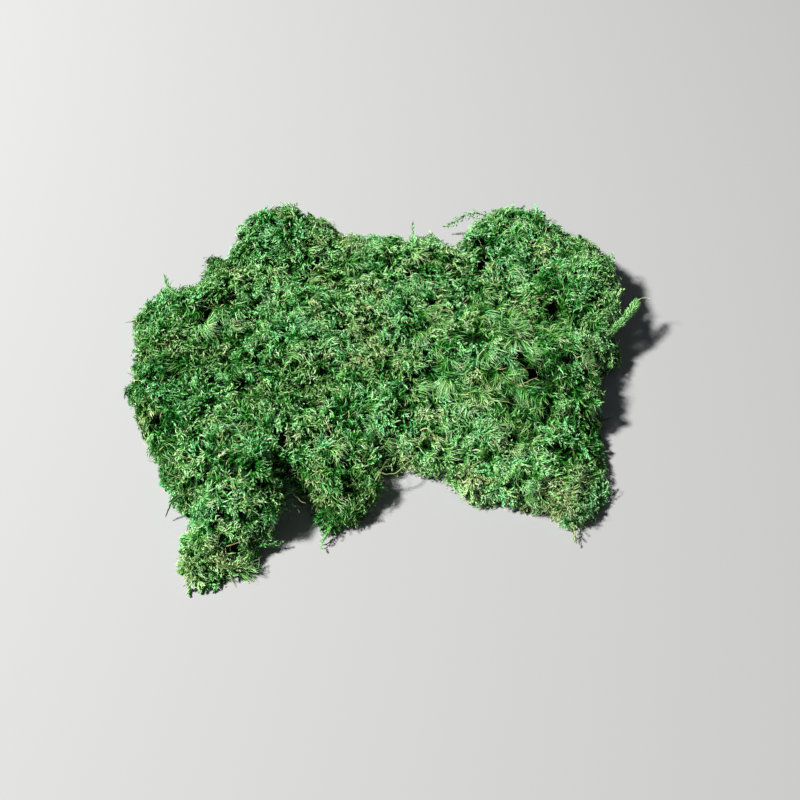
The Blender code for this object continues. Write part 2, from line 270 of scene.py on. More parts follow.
# the dark gaps: middle x and y, half length, half width (mm), turn (degrees)
GAPS = np.array([
    (83, 10.5, 11, 6.4, 90), (54, 99, 5, 3, 20), (-121, 57, 7, 4, 60), (94, 57, 7, 4, 95),
    (-5, -37, 5, 3, 30), (-70, -50, 9, 4, 10), (95, -41, 5, 3, 110), (73, 104, 4, 3, 0), (63, 107, 4, 3, 0),
    (-88, -96, 5, 3, 150), (-61, 3, 5, 3, 20), (44, 36, 4, 3, 60), (-40, 62, 4, 3, 120), (-95, 5, 5, 3, 40),
], float)

# broad places painted lighter or darker than the rest: mostly painted light and shadow, such as the
# shadow in the bay and on the tongue and the light on the front edge, and partly the mat's own tone:
# middle x and y, size (mm), change
PAINTED_LIGHT_AND_SHADE = (
    (68, 98, 36, 0.06), (-115, 15, 45, -0.18), (-98, -88, 32, 0.16), (72, -56, 40, 0.23),
    (-60, 50, 45, 0.08), (-64, -58, 15, -0.35), (-33, -48, 13, -0.12), (14, -40, 20, 0.26),
    (107, -74, 14, 0.20), (88, -22, 26, -0.20), (-62, -27, 14, 0.14), (-135, 32, 16, 0.08),
    (-86, 81, 14, 0.10), (52, -64, 16, 0.14), (89, 55, 18, -0.05), (5, 50, 34, 0.07), (-50, 68, 14, -0.10),
)


def gap_depth(points):
    """1 at a gap's middle, 0 at its brim, less outside: 1 minus the square of distance over size."""
    p = points[:, None, :2] / MM - SHIFT[:2] - GAPS[None, :, :2]
    turn = np.radians(GAPS[:, 4])
    u = (p[..., 0] * np.cos(turn) + p[..., 1] * np.sin(turn)) / GAPS[:, 2]
    w = (-p[..., 0] * np.sin(turn) + p[..., 1] * np.cos(turn)) / GAPS[:, 3]
    return (1 - u * u - w * w).max(axis=1)


def broom_share(points):
    """The share of broom moss: a hill of 0.7 right of the middle, 52 by 46 mm, over a floor of 0.08."""
    p = (points[:, :2] / MM - SHIFT[:2] - [62, 8]) / [52, 46]
    return 0.08 + 0.70 * np.exp(-(p[:, 0] ** 2) - p[:, 1] ** 2)


def round_patch(points, x, y, size):
    """A soft round hill: 1 at (x, y) in millimetres, and one over e at the distance `size`."""
    p = points[:, :2] / MM - SHIFT[:2] - [x, y]
    return np.exp(-(p**2).sum(axis=1) / size**2)


def one_per_cell(points, cell):
    """The rows that come first in each cell of a grid of that size."""
    key = np.floor(points / cell).astype(int)
    _, first = np.unique(key, axis=0, return_index=True)
    return np.sort(first)


# %% Choose the tufts, and give each a lean, a tint, a tone with painted light and shade, and a height
TUFT_CELL = 6.5 * MM
COMBED = np.array([0.25, -0.45, 0.0])  # the way the whole mat was brushed down
BROOM_COMBED = np.array([0.9, -0.7, 0.0])
BRIGHT_CORNER = (68, 98, 36)  # the emerald cushion at the back right: x, y and size (mm)
BLEACHED = 0.77
LIVE = (0, 0.66)  # the tints of live leaves, from emerald to olive

tuft_p, tuft_n = scatter(9000, 1)
keep = one_per_cell(tuft_p, TUFT_CELL)
tuft_p, tuft_n = tuft_p[keep], tuft_n[keep]
TUFTS = len(tuft_p)
flow = np.stack([cloud(tuft_p, 90 * MM, seed) for seed in (21, 22, 23)], axis=1) * [1, 1, 0.4]
tuft_lean = 0.55 * flow + rng.normal(size=(TUFTS, 3)) + COMBED
tuft_broom = rng.random(TUFTS) < broom_share(tuft_p)
tuft_lean[tuft_broom] = 0.7 * tuft_lean[tuft_broom] + BROOM_COMBED
tuft_lean = square_to(tuft_lean, tuft_n)
emerald = round_patch(tuft_p, *BRIGHT_CORNER)
flap = round_patch(tuft_p, -98, -88, 32)
front = round_patch(tuft_p, 77, -51, 45)
tuft_tint = 0.29 + 0.11 * cloud(tuft_p, 45 * MM, 31) + rng.normal(0, 0.15, TUFTS)
tuft_tint = np.clip(tuft_tint - 0.19 * emerald + 0.05 * flap + 0.09 * front, 0.02 - 0.01 * emerald, 0.63)
tuft_tint[rng.random(TUFTS) < 0.035] = 0.60
tuft_tint[round_patch(tuft_p, 38, -58, 6) > 0.4] = LIVE[1]
# the tuft's own tone at random, plus the painted light and shade of the broad places
tuft_tone_and_light = 0.035 + 0.025 * cloud(tuft_p, 30 * MM, 32) + rng.normal(0, 0.04, TUFTS)
for x, y, size, change in PAINTED_LIGHT_AND_SHADE:
    tuft_tone_and_light += change * round_patch(tuft_p, x, y, size)
steep = np.clip(1 - tuft_n[:, 2], 0, 1)
tuft_rise = np.clip(rng.normal(0, 0.75, TUFTS) + 0.4 * cloud(tuft_p, 15 * MM, 33), -3.0, 2.8) * MM
tuft_rise += (3.0 * round_patch(tuft_p, 122, 36, 9) - 1.3 * steep) * MM
tuft_curl = rng.normal(0, 0.7, TUFTS)
print(TUFTS, "tufts,", int(tuft_broom.sum()), "of them broom moss")


# %% Give every shoot a place in a tuft
def nearest(points, centres):
    """The row of the nearest centre for each point: a table of squared distances, 4000 points at a time.
    The point's own square is the same for all centres, and is left out."""
    centres = centres.astype(np.float32)
    square = (centres**2).sum(axis=1)
    rows = []
    for block in np.array_split(points.astype(np.float32), len(points) // 4000 + 1):
        rows.append((square - 2 * block @ centres.T).argmin(axis=1))
    return np.concatenate(rows)


THINNEST = 1.15  # where two soft random fields add up to more, no shoot grows


def shoots(count, seed, broom, gather, chance=None):
    """Roots on the mat, pulled towards their tuft's middle by `gather`. Shoots that stand in a gap, or
    would lean into one, are left out, and so are those in the thinnest places. `chance` may thin them by
    place. More points are scattered than are wanted, so that enough are left."""
    r = np.random.default_rng(seed)
    p, n = scatter(count * (9 if broom else 14 if chance else 3), seed)
    tuft = nearest(p, tuft_p)
    reach = (9 if broom else 6) * MM
    bare = (gap_depth(p) > -0.4) | (gap_depth(p + tuft_lean[tuft] * reach) > 0.0)
    bare |= cloud(p, 16 * MM, 41) + 0.5 * cloud(p, 9 * MM, 42) > THINNEST
    if chance is not None:
        bare |= r.random(len(p)) > chance(p)
    rows = np.flatnonzero((tuft_broom[tuft] == broom) & ~bare)[:count]
    p, n, tuft = p[rows], n[rows], tuft[rows]
    away = p - tuft_p[tuft]
    p = p - gather * away + n * tuft_rise[tuft][:, None]
    lean = tuft_lean[tuft] + 0.4 * unit(away) + r.normal(0, 0.40, p.shape)
    return p, n, square_to(lean, n), tuft


# %% [markdown]
# ## Leaves
#
# A moss leaf is tiny: about 2 mm long, a quarter as wide, and folded along its midrib. Two triangles that
# share the midrib catch the light as it does. The leaves stand round a stem in a spiral, 137.5 degrees
# from one to the next, as in most plants, so that none hides the one below. Each leaf also carries three
# numbers for the paint: its tint, how near its tip a corner is, and how high in the mat it stands, which
# sets its painted shade and light.

# %% Leaves round a line
GOLDEN_TURN = math.radians(137.5)
WIDEST = 0.45
FOLD = 0.22


def kite_leaves(base, aim, across, length, width):
    """Leaves as kites: base, right, tip, left. The widest place is at 0.45 of the length, and both edges
    are lifted by 0.22 of the width, so that the leaf is a shallow V. Sizes are columns."""
    up = np.cross(across, aim)
    middle = base + WIDEST * length * aim + FOLD * width * up
    right = middle + 0.5 * width * across
    left = middle - 0.5 * width * across
    return np.stack([base, right, base + length * aim, left], axis=-2)


def leaves_round(lines, hint, t, spread, length, width, seed, flat=0.8, wild=0.15, off=0.0):
    """Leaves at the fractions t of each line, in a golden spiral. Each aims along the line, opened by the
    angle `spread`, and starts `off` from its middle. `hint` is the line's side, `flat` presses the spiral
    flat, and `wild` shakes the aims."""
    r = np.random.default_rng(seed)
    at, forward = along(lines, t)
    side = square_to(hint[:, None], forward)
    up = np.cross(side, forward)
    turn = np.arange(t.shape[1]) * GOLDEN_TURN + r.uniform(0, 2 * np.pi, (len(lines), 1))
    out = unit(side * np.cos(turn)[..., None] + flat * up * np.sin(turn)[..., None])
    opened = (spread * np.ones_like(t))[..., None]
    aim = unit(forward * np.cos(opened) + out * np.sin(opened) + r.normal(0, wild, at.shape))
    across = square_to(unit(np.cross(forward, out) + 1e-6), aim)
    flip = np.where(np.cross(across, aim)[..., 2:] < 0, -1.0, 1.0)
    size = r.uniform(0.75, 1.25, t.shape)[..., None]
    long = (length * np.ones_like(t))[..., None] * size
    wide = (width * np.ones_like(t))[..., None] * size
    return kite_leaves(at + off * out, aim, across * flip, long, wide)


# %% Put leaves into a mesh
BANDS = 48
DEPTHS = (0.03, 0.97)


def banded(tint):
    """Tints rounded to the middle of one of 48 bands."""
    return (np.floor(np.clip(tint, 0, 0.999) * BANDS) + 0.5) / BANDS


def leaf_numbers(leaves, tint, depth):
    """Tint, tip and depth for the four corners of each leaf. The left and right corners are set a little
    apart in depth."""
    shape = leaves.shape[:-1]
    tip = np.array([0.05, WIDEST, 0.95, WIDEST])
    depth = np.clip(depth, *DEPTHS)[..., None] + np.array([0.0, 0.012, 0.0, -0.012])
    return [np.broadcast_to(a, shape) for a in (banded(tint)[..., None], tip, depth)]


def dressed(piece, paint, node="moss_mat"):
    """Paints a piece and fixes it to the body. It stands in place of the CAD node."""
    piece.data.materials.append(paint)
    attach(piece, "root")
    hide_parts(node)
    print(piece.name, len(piece.data.polygons), "faces")


def mesh_piece(name, arrays, paint, node="moss_mat", smooth=False):
    """A dressed piece from arrays: corners, faces, and the numbers (tint, tip, depth) of each corner. No
    corner is lower than 0.1 mm. The numbers are kept as attributes, and also laid out as a map: across by
    tint and tip, up by depth, so that like leaves share their place on it."""
    vertices, faces, numbers = arrays
    vertices = vertices.reshape(-1, 3)
    vertices = np.concatenate([vertices[:, :2], np.maximum(vertices[:, 2:], CLEAR)], axis=1)
    mesh = bpy.data.meshes.new(name)
    count, corners = faces.shape
    mesh.vertices.add(len(vertices))
    mesh.vertices.foreach_set("co", vertices.astype(np.float32).ravel())
    mesh.loops.add(count * corners)
    mesh.loops.foreach_set("vertex_index", faces.astype(np.int32).ravel())
    mesh.polygons.add(count)
    mesh.polygons.foreach_set("loop_start", np.arange(0, count * corners, corners, dtype=np.int32))
    mesh.polygons.foreach_set("use_smooth", np.full(count, smooth))
    for key, value in zip(("tint", "tip", "depth"), numbers):
        attribute = mesh.attributes.new(key, "FLOAT", "POINT")
        attribute.data.foreach_set("value", value.astype(np.float32).ravel())
    tint, tip, depth = (x.ravel() for x in numbers)
    u = np.floor(tint * BANDS) / BANDS + np.clip(tip, 0.02, 0.98) / BANDS
    uv = np.stack([u, depth], axis=1)[faces.ravel()]
    mesh.uv_layers.new(name="OFBake").data.foreach_set("uv", uv.astype(np.float32).ravel())
    mesh.update(calc_edges=True)
    mesh.validate()
    dressed(add(name, mesh), paint, node)


def leaf_mesh(leaves, tint, depth):
    """Corners, faces and numbers of leaves: two triangles each, one on either side of the midrib."""
    first = np.arange(0, leaves.size // 3, 4)[:, None]
    faces = np.concatenate([first + [0, 1, 2], first + [0, 2, 3]], axis=1).reshape(-1, 3)
    return leaves, faces, leaf_numbers(leaves, tint, depth)


def joined(meshes):
    """Several (corners, faces, numbers) as one: the faces of each count on from the corners before it."""
    corners = [v.reshape(-1, 3) for v, _, _ in meshes]
    first = np.cumsum([0] + [len(v) for v in corners])
    faces = [f + start for (_, f, _), start in zip(meshes, first)]
    numbers = [np.concatenate([n[i].ravel() for _, _, n in meshes]) for i in range(3)]
    return np.concatenate(corners), np.concatenate(faces), numbers


# %% [markdown]
# ## Paint for the greens
#
# One group mixes the colour of every leaf from its three numbers. The tint picks the hue, from deep
# emerald over grass green to olive, and then bleached green, straw and brown. Leaves low in the mat get
# little light, so depth darkens them as painted shade, and the top leaves are painted near white as a
# painted highlight. The tip of a leaf is a clear hair point, so it pales and shines a little more; high in
# the mat that pale is also a painted highlight. Each material sets the pale colour of its own kind of leaf.

# %% The colour group
HUES = [
    (0.00, (0.084, 0.520, 0.142)),
    (0.14, (0.124, 0.560, 0.138)),
    (0.28, (0.178, 0.570, 0.124)),
    (0.42, (0.232, 0.558, 0.128)),
    (0.56, (0.308, 0.515, 0.130)),
    (0.68, (0.375, 0.435, 0.146)),
    (0.77, (0.420, 0.600, 0.290)),
    (0.86, (0.640, 0.560, 0.280)),
    (1.00, (0.400, 0.270, 0.150)),
]
# depth to light: near black low in the mat is painted shade, near white at the top is a painted highlight
LIGHT = [
    (0.00, (0.001, 0.030, 0.001)),
    (0.42, (0.014, 0.205, 0.009)),
    (0.62, (0.238, 0.485, 0.198)),
    (0.80, (0.670, 0.735, 0.655)),
    (1.00, (1.000, 0.940, 1.000)),
]


def ramp(nodes, stops):
    """A colour ramp with the given stops, each (place, red-green-blue)."""
    node = nodes.new("ShaderNodeValToRGB")
    points = node.color_ramp.elements
    while len(points) < len(stops):
        points.new(0.5)
    for point, (place, colour) in zip(points, stops):
        point.position = place
        point.color = (*colour, 1)
    return node


def mix(tree, factor, a, b, kind="MIX"):
    """A colour mix; a factor or colour may be a plain value or another node's socket."""
    node = tree.nodes.new("ShaderNodeMix")
    node.data_type = "RGBA"
    node.blend_type = kind
    for socket, value in ((node.inputs[0], factor), (node.inputs[6], a), (node.inputs[7], b)):
        if isinstance(value, bpy.types.NodeSocket):
            tree.links.new(value, socket)
        else:
            socket.default_value = value
    return node.outputs[2]


def reading(tree, value, from_low, from_high, to_low, to_high):
    """A number moved from one range to another, smoothly at both ends."""
    node = tree.nodes.new("ShaderNodeMapRange")
    node.interpolation_type = "SMOOTHSTEP"
    tree.links.new(value, node.inputs["Value"])
    set_inputs(node, From_Min=from_low, From_Max=from_high, To_Min=to_low, To_Max=to_high)
    return node.outputs["Result"]


def leaf_colour_group():
    """Colour = hue(tint) times light(depth): painted shade low in the mat, painted highlight at its top.
    It is mixed towards pale by tip times depth: the clear tips, and a painted highlight on tips high in
    the mat. Tips are smoother.
    """
    tree = bpy.data.node_groups.new("leaf colour", "ShaderNodeTree")
    for name in ("Tint", "Tip", "Depth"):
        number = tree.interface.new_socket(name, in_out="INPUT", socket_type="NodeSocketFloat")
        number.min_value, number.max_value = 0.0, 1.0
    tree.interface.new_socket("Pale", in_out="INPUT", socket_type="NodeSocketColor")
    tree.interface.new_socket("Color", in_out="OUTPUT", socket_type="NodeSocketColor")
    tree.interface.new_socket("Roughness", in_out="OUTPUT", socket_type="NodeSocketFloat")
    link = tree.links.new
    given = tree.nodes.new("NodeGroupInput").outputs
    result = tree.nodes.new("NodeGroupOutput").inputs
    hue, light = ramp(tree.nodes, HUES), ramp(tree.nodes, LIGHT)
    link(given["Tint"], hue.inputs["Fac"])
    link(given["Depth"], light.inputs["Fac"])
    lit = mix(tree, 1.0, hue.outputs["Color"], light.outputs["Color"], "MULTIPLY")
    # pale tips high in the mat: clear hair points, and a painted highlight
    tip_highlight = tree.nodes.new("ShaderNodeMath")
    tip_highlight.operation = "MULTIPLY"
    link(reading(tree, given["Tip"], 0.30, 1.0, 0.0, 0.75), tip_highlight.inputs[0])
    link(reading(tree, given["Depth"], 0.5, 1.0, 0.05, 1.0), tip_highlight.inputs[1])
    link(mix(tree, tip_highlight.outputs[0], lit, given["Pale"]), result["Color"])
    link(reading(tree, given["Tip"], 0.0, 1.0, 0.54, 0.36), result["Roughness"])
    return tree


leaf_colour = leaf_colour_group()


def leaf_material(name, pale):
    """A leaf's finish: the colour group, fed by the three attributes, on a plain shader."""
    made, tree, shader = new_paint(name)
    group = tree.nodes.new("ShaderNodeGroup")
    group.node_tree = leaf_colour
    set_inputs(group, Pale=(*pale, 1))
    for key in ("tint", "tip", "depth"):
        number = tree.nodes.new("ShaderNodeAttribute")
        number.attribute_name = key
        tree.links.new(number.outputs["Fac"], group.inputs[key.capitalize()])
    tree.links.new(group.outputs["Color"], shader.inputs["Base Color"])
    tree.links.new(group.outputs["Roughness"], shader.inputs["Roughness"])
    set_inputs(shader, Specular_IOR_Level=0.15)
    return made


# the pale of each kind of leaf: its clear tips, and the painted highlight on tips high in the mat
feather_green = leaf_material("feather moss green", (0.71, 0.86, 0.63))
plump_green = leaf_material("plump shoot green", (0.54, 0.78, 0.50))
broom_green = leaf_material("broom moss green", (0.66, 0.79, 0.56))
straw = leaf_material("dead straw", (0.78, 0.68, 0.44))

# %% [markdown]
# ## Feather moss
#
# Feather moss grows flat, branched shoots: a main stem with short side strands left and right, every
# strand clad in leaves. Each shoot stands up out of the felt, then arches over and lies on its
# neighbours. A side strand starts on the stem, opens by about 50 degrees and curls forward. Single
# strands fill in between.

# %% Keep the lines close to the form
probe_p, probe_n = scatter(6000, 5)


def height_over(lines):
    """How high each station stands over the nearest sample of the mat, along the normal there."""
    p = lines.reshape(-1, 3)
    row = nearest(p, probe_p)
    return dot(p - probe_p[row], probe_n[row]).reshape(lines.shape[:2]), probe_n[row].reshape(lines.shape)


def settle(lines, seed, rise=0.0, lowest=0.5):
    """Pull every station that stands too high back along the normal. Most lines may rise by up to 2 mm at
    their tips, some by up to 4 and a few by 3 to 7, so the outline is ragged but true. `rise` lifts or
    lowers the limit of each line, as its tuft stands high or low. Returns the lines and their heights."""
    r = np.random.default_rng(seed)
    kind = r.random(len(lines))
    most = np.where(kind < 0.72, r.uniform(0.2, 1.7, len(lines)), r.uniform(1.6, 3.6, len(lines)))
    most = np.where(kind > 0.965, r.uniform(3, 7, len(lines)), most) * MM
    limit = most[:, None] * np.linspace(0.3, 1, lines.shape[1]) + np.reshape(rise, (-1, 1))
    over, normal = height_over(lines)
    extra = np.maximum(over - limit, 0)
    lines = lines - normal * extra[..., None]
    lines[..., 2] = np.maximum(lines[..., 2], (lowest + 0.6 * r.random((len(lines), 1))) * MM)
    return lines, over - extra


def station_values(values, t):
    """Values kept at a line's stations, read at the fractions t."""
    x = np.clip(t, 0, ALMOST_ONE) * (values.shape[1] - 1)
    i = x.astype(int)
    row = np.arange(len(values))[:, None]
    return values[row, i] * (1 - x + i) + values[row, i + 1] * (x - i)


# %% Lines of the stems and the side strands
STEMS = 1100
STRANDS_ON_STEM = 8
SINGLES = 4800
BOLD = 3400
FRINGE = 1500
SKIRT = 1900
LEAVES_ON_STRAND = 9
LEAVES_ON_SINGLE = 13
LEAVES_ON_BOLD = 14
LOWEST_STEM = 1.0 * MM


def stems(count, seed, reach, sink, gather=0.3, chance=None, proud=0.0):
    """Arching stems rooted `sink` under the surface: they rise half out, half over, and end almost flat.
    They may stand `proud` of the others."""
    r = np.random.default_rng(seed)
    p, n, lean, tuft = shoots(count, seed, False, gather, chance)
    rim = np.clip(1 - n[:, 2:], 0, 1)
    length = r.uniform(*reach, len(p)) * MM * (1 - 0.35 * rim[:, 0])
    root = p - n * (r.uniform(*sink, len(p)) * MM)[:, None]
    root[:, 2] = np.maximum(root[:, 2], LOWEST_STEM)
    start = unit(n + 0.75 * lean)
    end = unit(lean + n * (0.08 + 0.10 * rim) + r.normal(0, 0.28, p.shape) - np.array([0, 0, 0.25]) * rim)
    sway = np.cross(n, lean) * r.normal(0, 0.6, (len(p), 1)) + r.normal(0, 0.2, p.shape)
    lines = arching_lines(root, start, end, length, 7, sway)
    lines, over = settle(lines, seed + 1000, tuft_rise[tuft] + proud * MM)
    side = unit(np.cross(lean, n))
    return lines, over, side, tuft


def side_strands(lines, side, seed, count, longest):
    """Strands on a stem, left and right in turn. Their lengths follow half a sine, like a feather's."""
    r = np.random.default_rng(seed)
    t = np.linspace(0.22, 0.97, count)[None] + r.normal(0, 0.02, (len(lines), count))
    at, forward = along(lines, t)
    across = square_to(side[:, None], forward)
    up = np.cross(across, forward)
    hand = np.where(np.arange(count) % 2, 1.0, -1.0)[None, :, None]
    hand = hand + r.normal(0, 0.25, (len(lines), count, 1))
    lift = r.normal(0.25, 0.45, (len(lines), count, 1))
    start = unit(forward * 0.7 + across * hand + up * lift)
    curl = r.normal(0, 0.5, (len(lines), count, 1))
    end = unit(forward * 0.9 + across * hand * 0.35 + up * (curl - 0.2))
    length = longest * MM * np.sin(np.pi * np.clip(t, 0.15, 0.93)) ** 0.6 * r.uniform(0.7, 1.3, t.shape)
    made = arching_lines(at.reshape(-1, 3), start.reshape(-1, 3), end.reshape(-1, 3), length.ravel(), 4)
    return made, up.reshape(-1, 3)


def fringe_lines(count, seed, low, high, lift):
    """Strands of the rim, rooted between two heights: they point out and sideways, rise by `lift`, and
    droop. They reach furthest at the front right, where the mat's edge has frayed, and in the bay beside
    the flap."""
    r = np.random.default_rng(seed)
    p, n = scatter(count * 20, seed, -0.8)
    rows = np.flatnonzero((n[:, 2] < 0.6) & (p[:, 2] < high * MM) & (p[:, 2] > low * MM))[:count]
    p, n = p[rows], n[rows]
    flat = unit(n * np.array([1, 1, 0.0]) + 1e-9)
    sideways = np.cross(flat, [0, 0, 1.0]) * r.normal(0, 0.7, (len(p), 1))
    start = unit(flat + 0.5 * sideways + np.array([0, 0, lift]))
    end = unit(0.7 * flat + sideways + r.normal(0, 0.25, p.shape) - np.array([0, 0, 0.55]))
    root = p - flat * (r.uniform(3.5, 6.5, len(p)) * MM)[:, None]
    in_bay = round_patch(p, -64, -60, 14)
    length = r.uniform(6, 11, len(p)) * (1 + 0.7 * in_bay) * MM
    lines = arching_lines(root, start, end, length, 7)
    lines, over = settle(lines, seed + 1000, (2.6 * round_patch(p, 70, -55, 50) + 10 * in_bay - 1.7) * MM)
    over = np.minimum(over, 2.5 * MM)
    return lines, over, unit(np.cross(start, [0, 0, 1.0])), nearest(p, tuft_p)


stem_lines, stem_over, stem_side, stem_tuft = stems(STEMS, 51, reach=(14, 22), sink=(4.5, 8.0))
strand_lines, strand_side = side_strands(stem_lines, stem_side, 52, STRANDS_ON_STEM, longest=5.4)
strand_rise = np.repeat(tuft_rise[stem_tuft], STRANDS_ON_STEM)
strand_lines, strand_over = settle(strand_lines, 1052, strand_rise)
single = stems(SINGLES, 53, reach=(7, 14), sink=(3.0, 7.0))
bold = stems(BOLD, 55, reach=(8, 15), sink=(1.5, 6.0))
fringe = fringe_lines(FRINGE, 54, low=4, high=14, lift=0.35)
skirt = fringe_lines(SKIRT, 56, low=1, high=6, lift=0.05)
print(len(stem_lines), "stems,", len(strand_lines), "side strands,", len(single[0]), "single strands")


# %% Clad them in leaves
SURFACE = 0.62
LIGHT_REACH = 6.5 * MM


def brightness(over, tone):
    """The paint's depth number, which sets the painted shade and light: 0.62 at the surface, plus 1 for
    each 6.5 mm above it, plus the tone with its painted light and shade.
    """
    return np.clip(SURFACE + over / LIGHT_REACH + tone, 0, 1)


def dress(lines, over, hint, tuft, per_line, spread, length, width, seed, shift=0.0, bleached=0.025,
          **more):
    """Leaves for all the lines: (leaves, tint, depth). Leaves shrink towards the tip of their line, each
    line has its own tone on top of its tuft's tone and painted light and shade, and a few leaves are
    bleached."""
    r = np.random.default_rng(seed)
    t = np.linspace(0.06, 0.98, per_line)[None] + r.uniform(-0.02, 0.02, (len(lines), per_line))
    taper = 1.08 - 0.45 * t**2
    leaves = leaves_round(lines, hint, t, spread, length * MM * taper, width * MM * taper, seed, **more)
    tone = tuft_tone_and_light[tuft] + r.normal(0, 0.09, len(lines))
    depth = brightness(station_values(over, t), tone[:, None]) + r.normal(0, 0.03, t.shape)
    hue = (tuft_tint[tuft] + shift + r.normal(0, 0.035, len(lines)))[:, None] + r.normal(0, 0.025, t.shape)
    hue = np.where(r.random(t.shape) < bleached, BLEACHED, np.clip(hue, *LIVE))
    return leaves, hue, np.clip(depth, 0, 1)


strand_tuft = np.repeat(stem_tuft, STRANDS_ON_STEM)
# for each kind of line: leaves on it, their spread, length and width (mm), and the seed
feather_parts = [
    dress(strand_lines, strand_over, strand_side, strand_tuft, LEAVES_ON_STRAND, 0.34, 2.1, 0.60, 61),
    dress(stem_lines, stem_over, stem_side, stem_tuft, 20, 0.30, 2.2, 0.66, 62),
    dress(*single, LEAVES_ON_SINGLE, 0.34, 2.4, 0.62, 63),
    dress(*bold, LEAVES_ON_BOLD, 0.27, 3.0, 0.90, 65, shift=-0.04),
    dress(*fringe, LEAVES_ON_SINGLE, 0.36, 2.2, 0.60, 64, bleached=0.02),
    dress(*skirt, LEAVES_ON_SINGLE, 0.36, 2.2, 0.62, 66, shift=0.03, bleached=0.02),
]


# %% Split the feather moss into four pieces, from left to right
def rows_between(part, low, high):
    """The lines of a part whose first leaf stands between two values of x."""
    x = part[0][:, 0, 0, 0]
    rows = (x >= low) & (x < high)
    return tuple(a[rows] for a in part)


all_x = np.concatenate([np.repeat(a[0][:, 0, 0, 0], a[0].shape[1]) for a in feather_parts])
cuts = np.quantile(all_x, [0.25, 0.5, 0.75])
edges = [-1.0, *cuts, 1.0]
for name, low, high in zip(("left", "middle_left", "middle_right", "right"), edges[:-1], edges[1:]):
    leaves = [leaf_mesh(*rows_between(part, low, high)) for part in feather_parts]
    mesh_piece("feather_moss_" + name, joined(leaves), feather_green)

# %% [markdown]
# ## Plump shoots
#
# Here and there a smoother moss pushes through: worm-like shoots of a cold emerald green, with broad
# leaves pressed to the stem like scales. The same spiral makes them. Only the leaf changes: wide, short
# and nearly closed.

# %% Plump shoots among the others
PLUMP = 520
LEAVES_ON_PLUMP = 44


def plump_chance(points):
    """They crowd at the back right, and are rare elsewhere."""
    return 0.10 + 0.9 * round_patch(points, 78, 93, 34)


plump_stems = stems(PLUMP, 71, reach=(11, 19), sink=(2, 5), gather=0.1, chance=plump_chance, proud=1.2)
pressed = {"shift": -0.15, "flat": 1.0, "wild": 0.08, "off": 0.25 * MM}
plump_leaves = dress(*plump_stems, LEAVES_ON_PLUMP, 0.30, 2.3, 1.45, 72, **pressed)
mesh_piece("plump_shoots", leaf_mesh(*plump_leaves), plump_green)

# %% [markdown]
# ## Broom moss
#
# Broom moss has long leaves as fine as hair, all swept to one side like the head of a broom. Each leaf is
# a narrow ribbon that tapers to a point. It leaves its upright stem steeply and bends over with the
# tuft's lean. A ribbon needs only a few stations along its line: two corners at each, and one at the tip.

# %% Ribbons
def ribbons(lines, side, width, profile):
    """Flat ribbons on centre lines: two corners at each station but the last, set off by half the width
    times the profile along `side`. The last station is one corner, the tip."""
    forward = unit(np.gradient(lines, axis=1))
    across = square_to(side[:, None], forward)
    half = 0.5 * width[:, None, None] * np.asarray(profile)[None, :, None]
    body = lines[:, :-1]
    left = body - across[:, :-1] * half
    right = body + across[:, :-1] * half
    pairs = np.stack([left, right], axis=2).reshape(len(lines), -1, 3)
    return np.concatenate([pairs, lines[:, -1:]], axis=1)


def ribbon_faces(count, stations):
    """Two triangles between neighbouring stations, and one at the tip."""
    k = 2 * np.arange(stations - 2)[:, None]
    strip = np.concatenate([k + [0, 1, 3], k + [0, 3, 2]], axis=1).reshape(-1, 3)
    last = 2 * (stations - 2)
    pattern = np.concatenate([strip, [[last, last + 1, last + 2]]])
    first = (2 * (stations - 1) + 1) * np.arange(count)
    return (first[:, None, None] + pattern[None]).reshape(-1, 3)


def ribbon_mesh(lines, side, width, profile, tint, depth):
    """Corners, faces and numbers of ribbons. `tint` is one number a ribbon, `depth` one a station."""
    stations = lines.shape[1]
    vertices = ribbons(lines, side, width, profile)
    tips = np.repeat(np.linspace(0.04, 0.96, stations), 2)[:-1]
    low = np.repeat(np.clip(depth, *DEPTHS), 2, axis=1)[:, :-1]
    apart = np.tile([-0.008, 0.008], stations)[:-1]
    numbers = [np.broadcast_to(a, low.shape) for a in (banded(tint)[:, None], tips, low + apart)]
    return vertices, ribbon_faces(len(lines), stations), numbers


# %% Broom tufts
BROOMS = 1500
HAIRS_ON_BROOM = 14


def times(k, *arrays):
    """Each row of each array, k times over."""
    return [np.repeat(a, k, axis=0) for a in arrays]


def broom_lines(seed):
    """Hair leaves: they start along the first 5 mm of a stem that is rooted 4.5 to 7 mm deep, rise, bend
    over to the lean, and curl to the side that the whole tuft curls to."""
    r = np.random.default_rng(seed)
    p, n, lean, tuft = shoots(BROOMS, seed, True, 0.35)
    p = p - n * (r.uniform(4.5, 7.0, len(p)) * MM)[:, None]
    p[:, 2] = np.maximum(p[:, 2], LOWEST_STEM)
    curl = np.cross(n, lean) * tuft_curl[tuft][:, None]
    p, n, lean, curl, tuft = times(HAIRS_ON_BROOM, p, n, lean, curl, tuft)
    stem_tip = unit(n + 0.55 * lean + 0.12 * r.normal(size=n.shape))
    root = p + stem_tip * (r.uniform(0.5, 5.0, len(n)) * MM)[:, None] + r.normal(0, 1.3 * MM, n.shape)
    loose = r.normal(0, 0.22, n.shape)
    start = unit(n * 0.6 + 0.8 * lean - 0.4 * curl + loose)
    end = unit(lean + curl + n * r.normal(-0.10, 0.18, (len(n), 1)) + 1.2 * loose)
    length = r.uniform(5.5, 11.5, len(n)) * MM
    lines, over = settle(arching_lines(root, start, end, length, 4), seed + 1000, tuft_rise[tuft])
    return lines, over, unit(np.cross(lean, n) + r.normal(0, 0.5, n.shape)), tuft


